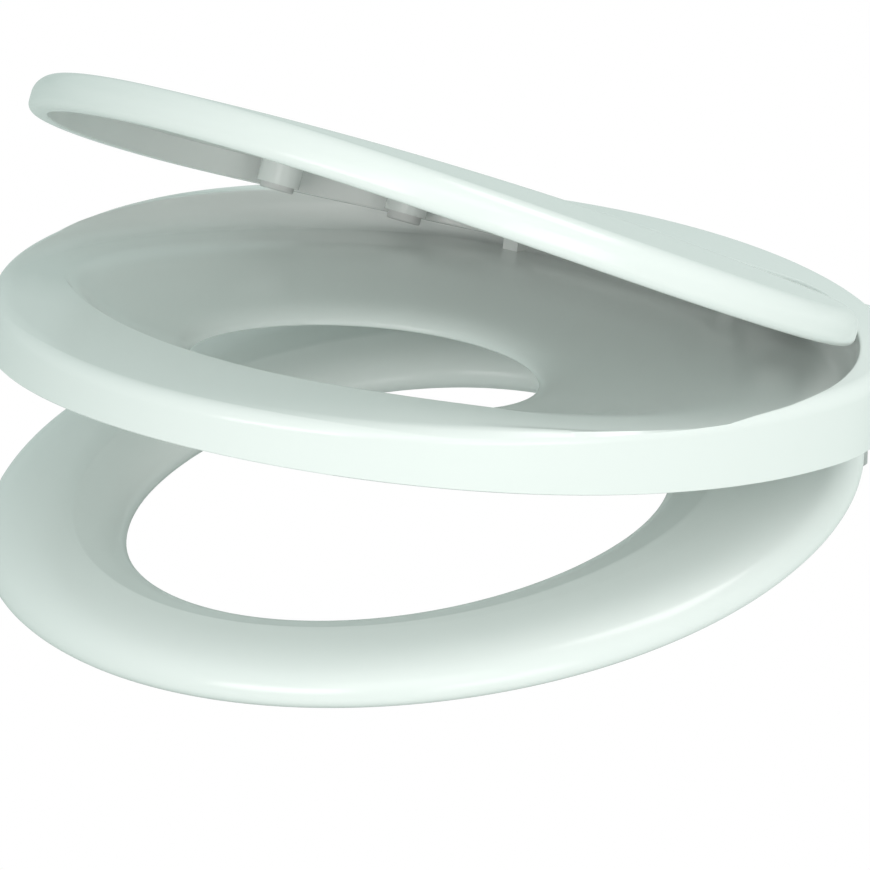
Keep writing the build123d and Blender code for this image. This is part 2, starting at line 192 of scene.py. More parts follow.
PORCELAIN = Finish("seat_plastic", "seat_plastic", (0.835, 0.843, 0.842), Sheen.GLOSS, 70.0, 0.05, 0.02)
HINGE = Finish("hinge_plastic", "hinge_plastic", (0.79, 0.815, 0.80), Sheen.SATIN, 900.0, 0.12)
PLAIN = Finish("plain_plastic", "plain_plastic", (0.64, 0.66, 0.65), Sheen.MATTE, 1400.0, 0.2, 0.06)
RUBBER = Finish("rubber", "rubber", (0.5, 0.51, 0.505), Sheen.MATTE, 1800.0, 0.3, 0.1)
STEEL = Finish("steel", "steel", (0.6, 0.6, 0.6), Sheen.METAL, 1500.0, 0.15, 0.08, (0.04, 1.0, 1.0), 1.0)


@dataclass(frozen=True)
class Leaf:
    """Plane of one leaf: hinge point and tilt, from its own millimetres to the row frame.

    Args:
        tilt: degrees by which its front is raised.
        pivot: point of the row frame it is tilted about, mm.
        local: the same point in the leaf's own coordinates, mm.
    """

    tilt: float
    pivot: tuple[float, float]
    local: tuple[float, float]

    def world(self, points: np.ndarray) -> np.ndarray:
        """Turn leaf points in mm into row points in m.

        Args:
            points: array of (..., 3).

        Returns:
            Array of the same shape, in metres.
        """
        a = math.radians(self.tilt)
        y = points[..., 1] - self.local[0]
        z = points[..., 2] - self.local[1]
        out = np.empty_like(points)
        out[..., 0] = points[..., 0]
        out[..., 1] = self.pivot[0] + y * math.cos(a) + z * math.sin(a)
        out[..., 2] = self.pivot[1] - y * math.sin(a) + z * math.cos(a)
        return out * MM


SEAT_LEAF = Leaf(0.0, (0.0, 0.0), (0.0, 0.0))
CHILD_LEAF = Leaf(CHILD_RAISE, (0.0, HINGE_HEIGHT), (0.0, 0.0))


def lid_leaf() -> Leaf:
    """Plane of the lid, tilted about its own axis on the raised child seat.

    Returns:
        The lid's leaf.
    """
    axis = CHILD_LEAF.world(np.array([0.0, *LID_AXIS])) / MM
    return Leaf(CHILD_RAISE + LID_RAISE, (float(axis[1]), float(axis[2])), LID_AXIS)


@dataclass(frozen=True)
class Oval:
    """Egg outline of two half ellipses that meet at the widest line."""

    width: float
    front: float
    widest: float
    back: float

    def at(self, angle: np.ndarray, inset: float) -> np.ndarray:
        """Points of the outline pulled in by an inset.

        Args:
            angle: ellipse angles, radians.
            inset: distance in mm.

        Returns:
            Array of (n, 2).
        """
        half = self.width / 2 - inset
        rear = self.back - self.widest - inset
        fore = self.widest - self.front - inset
        deep = np.where(np.sin(angle) >= 0, rear, fore)
        return np.stack([np.cos(angle) * half, self.widest + np.sin(angle) * deep], -1)


SEAT = Oval(354.0, -462.0, -242.0, -13.0)
OPENING = Oval(214.0, -404.0, -256.0, -123.0)
CHILD = Oval(381.0, -464.0, -208.0, -34.0)
LEAF = Oval(381.0, -464.0, -240.0, -47.0)


def spline(points: list[tuple[float, float]], count: int) -> np.ndarray:
    """Smooth curve through a few points (natural cubic over chord length).

    Args:
        points: the points.
        count: how many samples to take.

    Returns:
        Array of (count, 2).
    """
    p = np.array(points, float)
    t = np.concatenate([[0], np.cumsum(np.linalg.norm(np.diff(p, axis=0), axis=1))])
    h = np.diff(t)
    n = len(p)
    a = np.eye(n)
    b = np.zeros((n, 2))
    for i in range(1, n - 1):
        a[i, i - 1 : i + 2] = h[i - 1], 2 * (h[i - 1] + h[i]), h[i]
        b[i] = 6 * ((p[i + 1] - p[i]) / h[i] - (p[i] - p[i - 1]) / h[i - 1])
    m = np.linalg.solve(a, b)
    s = np.linspace(0, t[-1], count)
    k = np.clip(np.searchsorted(t, s, side="right") - 1, 0, n - 2)
    u = (s - t[k])[:, None]
    w = (t[k + 1] - s)[:, None]
    g = h[k][:, None]
    return (
        m[k] * w**3 / (6 * g)
        + m[k + 1] * u**3 / (6 * g)
        + (p[k] / g - m[k] * g / 6) * w
        + (p[k + 1] / g - m[k + 1] * g / 6) * u
    )


def soft_min(a: np.ndarray, b: np.ndarray, k: float) -> np.ndarray:
    """Smaller of two heights, blended over k mm.

    Args:
        a: first height.
        b: second height.
        k: width of the blend.

    Returns:
        Blended height.
    """
    h = np.clip(0.5 + 0.5 * (b - a) / k, 0, 1)
    return b * (1 - h) + a * h - k * h * (1 - h)


def rounding(distance: np.ndarray, radius: float) -> np.ndarray:
    """Drop of a rounded edge at a distance from it.

    Args:
        distance: distance from the edge.
        radius: edge radius.

    Returns:
        Drop below the flat surface.
    """
    left = np.clip(radius - distance, 0, radius)
    return radius - np.sqrt(radius**2 - left**2)


def drop(x: np.ndarray, radius: float = ARCH) -> np.ndarray:
    """Fall of an arch across the leaf.

    Args:
        x: place across.
        radius: arch radius.

    Returns:
        Fall below the middle.
    """
    return radius - np.sqrt(radius**2 - x**2)


def dome(x: np.ndarray, y: np.ndarray, top: float, crest: float, across: float, along: float) -> np.ndarray:
    """Height of a surface arched across and domed along the leaf.

    Args:
        x: place across.
        y: place along.
        top: height of the crest.
        crest: place of the crest along the leaf.
        across: radius across.
        along: radius along.

    Returns:
        Height.
    """
    return top - along + np.sqrt((along - drop(x, across)) ** 2 - (y - crest) ** 2)


class Mesher:
    """Collects vertices and faces of one smooth piece."""

    def __init__(self) -> None:
        """Start with no points and no faces."""
        self.points: list[np.ndarray] = []
        self.faces: list[list[int]] = []
        self.count = 0

    def add(self, points: np.ndarray, faces: list[list[int]]) -> None:
        """Add a patch.

        Args:
            points: array of (n, 3) in metres.
            faces: vertex numbers within the patch.
        """
        self.points.append(points)
        self.faces.extend([[i + self.count for i in f] for f in faces])
        self.count += len(points)

    def loop(self, rows: np.ndarray, closed: bool = True) -> None:
        """Add rows of points that each run round the object, as quads.

        Args:
            rows: array of (k, n, 3) in metres.
            closed: whether the last row joins the first; otherwise both ends are closed by a fan.
        """
        k, n = rows.shape[:2]
        points = rows.reshape(-1, 3)
        faces = []
        for i in range(k if closed else k - 1):
            j = (i + 1) % k
            for q in range(n):
                r = (q + 1) % n
                faces.append([i * n + q, i * n + r, j * n + r, j * n + q])
        if not closed:
            points = np.concatenate([points, rows[:1].mean(1), rows[-1:].mean(1)])
            for q in range(n):
                r = (q + 1) % n
                faces.append([k * n, r, q])
                faces.append([k * n + 1, (k - 1) * n + q, (k - 1) * n + r])
        self.add(points, faces)

    def box(self, leaf: Leaf, low: tuple, high: tuple) -> None:
        """Add a box that stands square to a leaf.

        Args:
            leaf: the leaf.
            low: lowest corner, mm.
            high: highest corner, mm.
        """
        xs, ys, zs = zip(low, high)
        c = np.array([[x, y, z] for z in zs for y in ys for x in xs], float)
        faces = [[0, 2, 3, 1], [4, 5, 7, 6], [0, 1, 5, 4], [2, 6, 7, 3], [0, 4, 6, 2], [1, 3, 7, 5]]
        self.add(leaf.world(c), faces)

    def pillar(self, leaf: Leaf, x: float, y: float, low: float, high: float, radius: float) -> None:
        """Add a round boss that stands square to a leaf.

        Args:
            leaf: the leaf.
            x: place across.
            y: place along.
            low: lower end.
            high: upper end.
            radius: radius.
        """
        t = np.linspace(0, 2 * math.pi, 48, endpoint=False)
        ring = np.stack([x + radius * np.cos(t), y + radius * np.sin(t), t * 0], -1)
        rows = np.stack([ring + [0, 0, low], ring + [0, 0, high]])
        self.loop(leaf.world(rows), closed=False)

    def plate(
        self, leaf: Leaf, rim: np.ndarray, bore: float, centre: tuple, middle: float, width: float
    ) -> None:
        """Add a plate across the hinge axis with a bore in it, such as a lug or an ear.

        Args:
            leaf: the leaf.
            rim: (y, z) points round the plate, in order, all in sight of the bore.
            bore: bore radius.
            centre: the bore's (y, z).
            middle: place across of the plate's middle.
            width: width across.
        """
        x0, x1 = middle - width / 2, middle + width / 2
        away = rim - np.array(centre)
        t = np.arctan2(away[:, 1], away[:, 0])
        hole = np.stack([centre[0] + bore * np.cos(t), centre[1] + bore * np.sin(t)], -1)
        rows = []
        for ring, x in ((rim, x0), (rim, x1), (hole, x1), (hole, x0)):
            rows.append(np.column_stack([np.full(len(ring), x), ring]))
        self.loop(leaf.world(np.array(rows)))

    def make(self, name: str, finish: Finish, sharp: float = 40.0) -> bpy.types.Object:
        """Make the object.

        Args:
            name: object name.
            finish: its finish.
            sharp: angle over which an edge stays crisp, degrees.

        Returns:
            The new object.
        """
        mesh = bpy.data.meshes.new(name)
        mesh.from_pydata(np.concatenate(self.points).tolist(), [], self.faces)
        mesh.update()
        mesh.polygons.foreach_set("use_smooth", [True] * len(mesh.polygons))
        made = bpy.data.objects.new(name, mesh)
        bpy.context.scene.collection.objects.link(made)
        mesh.set_sharp_from_angle(angle=math.radians(sharp))
        mesh.materials.append(finish.material())
        log.info("made %s with %d faces", name, len(mesh.polygons))
        return made


def lug_edge(reach: float, low: float, high: float, knuckle: float = 10.0) -> np.ndarray:
    """Side view of a hinge lug: a knuckle on the axis with an arm that runs forward.

    Args:
        reach: how far forward the arm runs.
        low: lower end of the arm.
        high: upper end of the arm.
        knuckle: knuckle radius.

    Returns:
        Array of (n, 2): (y, z) round the lug.
    """
    t = np.radians(np.linspace(-90, 90, 41))
    head = np.stack([knuckle * np.cos(t), knuckle * np.sin(t)], -1)
    over = np.stack([np.linspace(0, -reach, 12)[1:], np.linspace(knuckle, high, 12)[1:]], -1)
    under = np.stack([np.linspace(-reach, 0, 12)[:-1], np.linspace(low, -knuckle, 12)[:-1]], -1)
    return np.concatenate([head, over, under])


@dataclass
class AdultSeat:
    """The flat oval ring that adults sit on.

    Args:
        outer: (inset, height) of the outer side, from the foot to the crown.
        inner: (flare, height) of the inner side, from the crown to the foot.
        foot: height of the lower edge.
        ceiling: height of the hollow underside.
        wall: thickness of the sides.
        lug: place across of the hinge lugs.
        bosses: (x, y) of the buffer bosses of the right half.
    """

    outer: list[tuple[float, float]] = field(
        default_factory=lambda: [
            (3.0, 9.0), (0.0, 12.0), (0.8, 18.0), (5.0, 23.0), (13.0, 26.6), (24.0, 28.4), (35.0, 29.0),
        ]
    )
    inner: list[tuple[float, float]] = field(
        default_factory=lambda: [
            (22.8, 29.0), (18.0, 27.8), (11.0, 25.8), (4.8, 22.6), (0.8, 18.0), (0.0, 12.0), (1.9, 9.0),
        ]
    )
    foot: float = 9.0
    ceiling: float = 20.0
    wall: float = 12.0
    lug: float = 64.4
    bosses: tuple = ((70.1, -407.0), (114.0, -150.0))

    def build(self) -> bpy.types.Object:
        """Sweep the ring's section round the seat and add its lugs and bosses.

        Returns:
            The ring.
        """
        t = np.linspace(0, 2 * math.pi, 480, endpoint=False)
        rows = []
        for inset, z in spline(self.outer, 44):
            rows.append(self.row(SEAT, t, inset, z))
        last = rows[-1]
        first = self.row(OPENING, t, -self.inner[0][0], self.inner[0][1])
        for share in np.linspace(0, 1, 10)[1:-1]:
            rows.append(last * (1 - share) + first * share)
        for flare, z in spline(self.inner, 40):
            rows.append(self.row(OPENING, t, -flare, z))
        hollow = self.hollow()
        for flare, z in hollow:
            rows.append(self.row(OPENING, t, -flare, z))
        for inset, z in (*reversed(hollow), (self.outer[0][0] + 0.6, self.foot)):
            rows.append(self.row(SEAT, t, inset, z))
        mesh = Mesher()
        mesh.loop(SEAT_LEAF.world(np.array(rows)))
        lug = Leaf(0.0, (0.0, HINGE_HEIGHT), (0.0, 0.0))
        for side in (-1, 1):
            mesh.plate(lug, lug_edge(46.0, -13.0, 0.0), BUSH_BORE, (0, 0), side * self.lug, LUG_WIDTH)
            for x, y in self.bosses:
                mesh.pillar(SEAT_LEAF, side * x, y, self.foot, self.ceiling + 0.5, BOSS_RADIUS)
        return mesh.make("adult_ring", PORCELAIN)

    def hollow(self) -> list[tuple[float, float]]:
        """Wall of the hollow underside, with its edges eased.

        Returns:
            (inset, height) from the foot to the ceiling.
        """
        wall, foot, ceiling, ease = self.wall, self.foot, self.ceiling, 0.4
        return [(wall - ease, foot), (wall, foot + ease), (wall, ceiling - ease), (wall + ease, ceiling)]

    @staticmethod
    def row(oval: Oval, t: np.ndarray, inset: float, z: float) -> np.ndarray:
        """One row of points round an oval.

        Args:
            oval: the outline.
            t: angles.
            inset: how far it is pulled in.
            z: height.

        Returns:
            Array of (n, 3).
        """
        return np.column_stack([oval.at(t, inset), np.full(len(t), z)])


@dataclass
class ChildSeat:
    """The dished seat with a smaller opening that the lid closes into.

    Args:
        land: how far the recess is pulled in from the outline.
        low: lower edge of the skirt at the middle line.
        top: height of the crest.
        crest: place of the crest along the seat.
        along: radius of the dome along the seat.
        edge: radius of the outer top edge.
        recess_back: straight back of the recess.
        corner: radius of its rear corners.
        foot: radius between its floor and its wall.
        wall: wall thickness, and the height of the opening's lower lip.
        skirt: thickness of the skirt.
        middle: place along from which the rays start.
        brink: share of the dish at which it ends in a step up to the land.
        lug: place across of the hinge lugs.
        bosses: (x, y, low, high) of the buffer bosses of the right half.
        floor_height: height of the recess floor at the lid's axis.
        floor_slope: its rise towards the front, degrees.
        scoop_height: height of the finger scoop's centre.
        scoop_radius: its radius.
        draft_foot: inset of the skirt at height 0.
        draft_slope: its growth with height.
        opening: half width, widest line, depth behind it and depth in front of it.
        spread: how much each of these grows from the opening to the dish's rim.
        levels: (share, height) of the dish, from the opening to its rim.
    """

    land: float = 8.0
    low: float = 8.0
    top: float = 40.0
    crest: float = -190.0
    along: float = 3000.0
    edge: float = 6.0
    recess_back: float = -81.0
    corner: float = 44.0
    foot: float = 11.0
    wall: float = 5.0
    skirt: float = 6.5
    middle: float = -298.0
    brink: float = 1.3
    lug: float = 90.6
    bosses: tuple = ((59.8, -418.0, 9.0, 27.0), (110.1, -105.0, 9.5, 14.5))
    floor_height: float = 19.0
    floor_slope: float = 3.0
    scoop_height: float = 46.0
    scoop_radius: float = 14.0
    draft_foot: float = 1.5
    draft_slope: float = 0.03
    opening: tuple[float, float, float, float] = (74.0, -300.0, 88.0, 72.0)
    spread: tuple[float, float, float, float] = (78.0, 75.0, 15.0, 105.0)
    levels: list[tuple[float, float]] = field(
        default_factory=lambda: [
            (0.0, 7.0), (0.015, 9.0), (0.045, 11.0), (0.09, 12.6), (0.16, 13.8), (0.28, 15.0), (0.44, 16.4),
            (0.62, 18.2), (0.8, 20.4), (0.95, 22.8), (1.06, 25.0), (1.15, 27.4), (1.22, 29.2), (1.27, 30.3),
            (1.3, 31.2),
        ]
    )

    def rays(self) -> np.ndarray:
        """Angles round the opening, closer together at the finger scoop and the recess corners.

        Returns:
            Array of angles.
        """
        grid = np.linspace(-math.pi, math.pi, 4001)
        dense = 1 + 2.5 * np.exp(-(((grid - math.pi / 2) / 0.07) ** 4))
        for where in (math.radians(66), math.radians(114)):
            dense += 1.2 * np.exp(-(((grid - where) / 0.12) ** 2))
        total = np.concatenate([[0], np.cumsum((dense[1:] + dense[:-1]) / 2)])
        return np.interp(np.linspace(0, total[-1], 561)[:-1], total, grid)

    def reach(self, outline: np.ndarray, angle: np.ndarray) -> tuple[np.ndarray, np.ndarray]:
        """Distance to an outline along each ray, and how squarely the ray meets it.

        Args:
            outline: closed polyline, (n, 2).
            angle: ray angles.

        Returns:
            Distances and cosines.
        """
        rel = outline - [0, self.middle]
        a = np.arctan2(rel[:, 1], rel[:, 0])
        order = np.argsort(a)
        a, r = a[order], np.linalg.norm(rel, axis=1)[order]
        a = np.concatenate([a - 2 * math.pi, a, a + 2 * math.pi])
        r = np.concatenate([r, r, r])
        far = np.interp(angle, a, r)
        slope = (np.interp(angle + 2e-3, a, r) - np.interp(angle - 2e-3, a, r)) / 4e-3
        return far, far / np.hypot(far, slope)

    def recess(self) -> np.ndarray:
        """Outline of the recess: the seat's outline pulled in, cut straight at the back, with round corners.

        Returns:
            Closed polyline, (n, 2).
        """
        return leaf_outline(self.land, self.recess_back, self.corner)

    def dish_size(self, share: np.ndarray | float) -> tuple:
        """Size of the dish's outline on the way from the opening to its rim.

        Args:
            share: 0 at the opening and 1 at the rim.

        Returns:
            Half width, widest line, depth behind it and depth in front of it.
        """
        return tuple(start + grow * share for start, grow in zip(self.opening, self.spread))

    def dish_oval(self, share: float) -> Oval:
        """Outline of the dish at one share.

        Args:
            share: 0 at the opening and 1 at the rim.

        Returns:
            The outline.
        """
        half, widest, rear, fore = self.dish_size(share)
        return Oval(2 * half, widest - fore, widest, widest + rear)

    def share(self, x: np.ndarray, y: np.ndarray) -> np.ndarray:
        """How far a place lies on the way from the opening to the dish's rim.

        Args:
            x: place across.
            y: place along.

        Returns:
            Share, 0 at the opening and 1 at the rim.
        """
        low, high = np.full_like(x, -0.2), np.full_like(x, 2.6)
        for _ in range(40):
            s = (low + high) / 2
            half, widest, rear, fore = self.dish_size(s)
            inside = (x / half) ** 2 + ((y - widest) / np.where(y > widest, rear, fore)) ** 2 < 1
            high = np.where(inside, s, high)
            low = np.where(inside, low, s)
        return s

    def dish(self, x: np.ndarray, y: np.ndarray) -> np.ndarray:
        """Height of the dish.

        Args:
            x: place across.
            y: place along.

        Returns:
            Height.
        """
        fine = spline(self.levels, 400)
        s = self.share(x, y)
        z = np.interp(s, fine[:, 0], fine[:, 1])
        return z + np.clip(s - self.brink, 0, None) * 270

    def floor(self, x: np.ndarray, y: np.ndarray, away: np.ndarray, radius: float) -> np.ndarray:
        """Height of the recess floor, which curves up into the wall.

        Args:
            x: place across.
            y: place along.
            away: distance from the wall.
            radius: radius of the curve.

        Returns:
            Height.
        """
        rise = math.tan(math.radians(self.floor_slope)) * (LID_AXIS[0] - y)
        return self.floor_height + rise - drop(x) + rounding(away, radius)

    def crown(self, x: np.ndarray, y: np.ndarray, down: float = 0.0) -> np.ndarray:
        """Height of the domed top without the recess and the scoop.

        Args:
            x: place across.
            y: place along.
            down: how far it is lowered.

        Returns:
            Height.
        """
        return dome(x, y, self.top - down, self.crest, ARCH, self.along)

    def draft(self, z: np.ndarray) -> np.ndarray:
        """Inset of the sloping skirt.

        Args:
            z: height.

        Returns:
            Inset from the outline.
        """
        return self.draft_foot + self.draft_slope * z

    def cover(self, x: np.ndarray, y: np.ndarray) -> np.ndarray:
        """Height of the rim and the rear deck, with the finger scoop.

        Args:
            x: place across.
            y: place along.

        Returns:
            Height.
        """
        z = self.crown(x, y)
        d = np.hypot(x, y - self.recess_back)
        scoop = self.scoop_height - np.sqrt(np.clip(self.scoop_radius**2 - d**2, 0, None))
        return np.where(d < self.scoop_radius, soft_min(z, scoop, 1.0), z)

    def build(self) -> bpy.types.Object:
        """Build the shell by rays from the opening, and add lugs, ears and bosses.

        Returns:
            The child seat.
        """
        angle = self.rays()
        ray = np.stack([np.cos(angle), np.sin(angle)], -1)
        t = np.linspace(0, 2 * math.pi, 6000, endpoint=False)
        hole, _ = self.reach(self.dish_oval(0.0).at(t, 0.0), angle)
        wall, square = self.reach(self.recess(), angle)
        outer, face = self.reach(CHILD.at(t, 0.0), angle)
        brink, _ = self.reach(self.dish_oval(self.brink).at(t, 0.0), angle)
        height = self.cover(ray[:, 0] * outer, self.middle + ray[:, 1] * outer) - self.edge
        edge = outer - self.draft(height) / face
        recess = np.minimum(wall, edge - 0.8 / face)
        rows: list[np.ndarray] = []

        def put(r: np.ndarray, height: Callable) -> None:
            """Add a row at these distances along the rays, as high as the function says."""
            x, y = ray[:, 0] * r, self.middle + ray[:, 1] * r
            rows.append(np.stack([x, y, height(x, y) * np.ones_like(x)], -1))

        def bowl(r: np.ndarray) -> None:
            """Add a row inside the recess.

            Args:
                r: distances along the rays.
            """

            def surface(x: np.ndarray, y: np.ndarray) -> np.ndarray:
                """Height where the land, the recess floor and the dish run into each other.

                Args:
                    x: place across.
                    y: place along.

                Returns:
                    The lowest of the three, blended.
                """
                land = self.crown(x, y) - rounding((edge - r) * face, self.edge)
                z = soft_min(self.floor(x, y, (wall - r) * square, self.foot), land, 2.5)
                return soft_min(z, self.dish(x, y), 4.0)

            put(r, surface)

        put(hole + 0.6, lambda x, y: self.wall)
        put(hole, lambda x, y: self.wall + 0.6)
        split = np.minimum(brink, recess - 3.0)
        lip = [0.0, 0.005, 0.011, 0.019, 0.03, 0.044, 0.063, 0.085]
        for share in np.concatenate([lip, np.linspace(0.11, 1.0, 38)]):
            bowl(hole + (split - hole) * share)
        for step in (0.3, 0.65, 1.1):
            bowl(split + step)
        for share in np.linspace(0, 1, 16)[1:]:
            bowl(split + 1.1 + (recess - split - 1.1) * share)
        foot = rows[-1][:, 2]
        brow = self.cover(rows[-1][:, 0], rows[-1][:, 1]) - rounding((edge - recess) * face, self.edge)
        tall = np.clip(brow - foot, 0, None)
        for share in (0.15, 0.3, 0.45, 0.6, 0.75, 0.88):
            z = foot + (tall - np.minimum(tall, 1.2)) * share
            put(recess, lambda x, y, z=z: z)

        def rim(r: np.ndarray, fall: np.ndarray) -> None:
            """Add a row on the rim, lowered by a fall."""
            away = np.clip((edge - r) * face, 0, None)
            put(r, lambda x, y: self.cover(x, y) - rounding(away, self.edge) - fall)

        narrow = np.minimum(1.2, 0.4 * (edge - recess) * face)
        for share in (0.0, 0.1, 0.3, 0.58, 1.0):
            rim(recess + narrow * share / square, np.minimum(tall, narrow) * rounding(np.array(share), 1.0))
        start = recess + narrow / square
        room = np.minimum(self.edge, 0.8 * (edge - start) * face)
        for share in np.linspace(0, 1, 24)[1:-1]:
            rim(start + (edge - room / face - start) * share, np.zeros_like(start))
        for turn in np.radians(np.linspace(0, 90, 12)):
            rim(edge - room * (1 - math.sin(turn)) / face, np.zeros_like(start))
        top = rows[-1][:, 2]
        for share in np.linspace(0, 1, 8)[1:]:
            x, y = rows[-1][:, 0], rows[-1][:, 1]
            z = top + (self.low + 0.5 - drop(x) - top) * share
            put(outer - self.draft(z) / face, lambda x, y, z=z: z)
        put(outer - 2.3 / face, lambda x, y: self.low - drop(x))
        put(outer - (self.skirt - 0.5) / face, lambda x, y: self.low - drop(x))
        put(outer - self.skirt / face, lambda x, y: self.low + 0.6 - drop(x))

        def under(x: np.ndarray, y: np.ndarray, r: np.ndarray) -> np.ndarray:
            """Height of the underside, a wall's thickness below the upper side.

            Args:
                x: place across.
                y: place along.
                r: distances along the rays.

            Returns:
                Height.
            """
            away = (wall - r) * square + self.wall
            deck = self.crown(x, y, self.wall)
            floor = self.floor(x, y, np.clip(away, 0, None), self.foot + self.wall) - self.wall
            z = np.where(away > 0, np.minimum(floor, deck), deck)
            back = np.clip(r - self.wall, 1.0, None) / r
            lowered = self.dish(x * back, self.middle + (y - self.middle) * back) - self.wall
            return np.maximum(np.minimum(z, lowered), self.wall)

        inner = outer - self.skirt / face
        for share in np.linspace(1.0, 0.0, 44):
            r = hole + 1.2 + (inner - hole - 1.2) * share
            put(r, lambda x, y, r=r: under(x, y, r))
        mesh = Mesher()
        mesh.loop(CHILD_LEAF.world(np.array(rows)))
        for side in (-1, 1):
            arm = lug_edge(66.0, 12.0, 28.0)
            mesh.plate(CHILD_LEAF, arm, BUSH_BORE, (0, 0), side * self.lug, LUG_WIDTH)
            mesh.plate(CHILD_LEAF, self.ear_edge(), 2.05, LID_AXIS, side * EAR_PLACE, EAR_WIDTH)
            for x, y, low, high in self.bosses:
                mesh.pillar(CHILD_LEAF, side * x, y, low, high, BOSS_RADIUS)
        return mesh.make("child_shell", PORCELAIN)

    @staticmethod
    def ear_edge() -> np.ndarray:
        """Side view of an ear that carries the lid's pin.

        Returns:
            Array of (n, 2): (y, z) round the ear.
        """
        t = np.radians(np.linspace(0, 180, 25))
        head = np.array(LID_AXIS) + EAR_RADIUS * np.stack([np.cos(t), np.sin(t)], -1)
        down = np.linspace(LID_AXIS[1], 16.5, 8)[1:]
        left = np.stack([np.full_like(down, LID_AXIS[0] - EAR_RADIUS), down], -1)
        right = np.stack([np.full_like(down, LID_AXIS[0] + EAR_RADIUS), down[::-1]], -1)
        return np.concatenate([head, left, right])


def leaf_outline(inset: float, back: float, corner: float) -> np.ndarray:
    """Outline of the recess or the lid: an egg cut straight across at the back, with rounded corners.

    Args:
        inset: how far it is pulled in.
        back: place of the straight edge.
        corner: corner radius.

    Returns:
        Closed polyline, (n, 2), anticlockwise from the right.
    """
    t = np.linspace(-math.pi / 2, math.pi / 2, 4000)
    right = LEAF.at(t, inset)
    tangent = np.gradient(right, axis=0)
    tangent /= np.linalg.norm(tangent, axis=1)[:, None]
    centre = right + np.stack([-tangent[:, 1], tangent[:, 0]], -1) * corner
    k = int(np.argmin(np.abs(centre[:, 1] - (back - corner)) + (right[:, 1] < LEAF.widest) * 1e3))
    begin = math.atan2(*(right[k] - centre[k])[::-1])
    arc = np.linspace(begin, math.pi / 2, 60)
    bend = centre[k] + corner * np.stack([np.cos(arc), np.sin(arc)], -1)
    bend[:, 1] += back - bend[-1, 1]
    flat = np.stack([np.linspace(bend[-1, 0], 0, 200), np.full(200, back)], -1)
    half = np.concatenate([right[:k], bend, flat[1:]])
    other = half[::-1][1:-1] * [-1, 1]
    return np.concatenate([half, other])


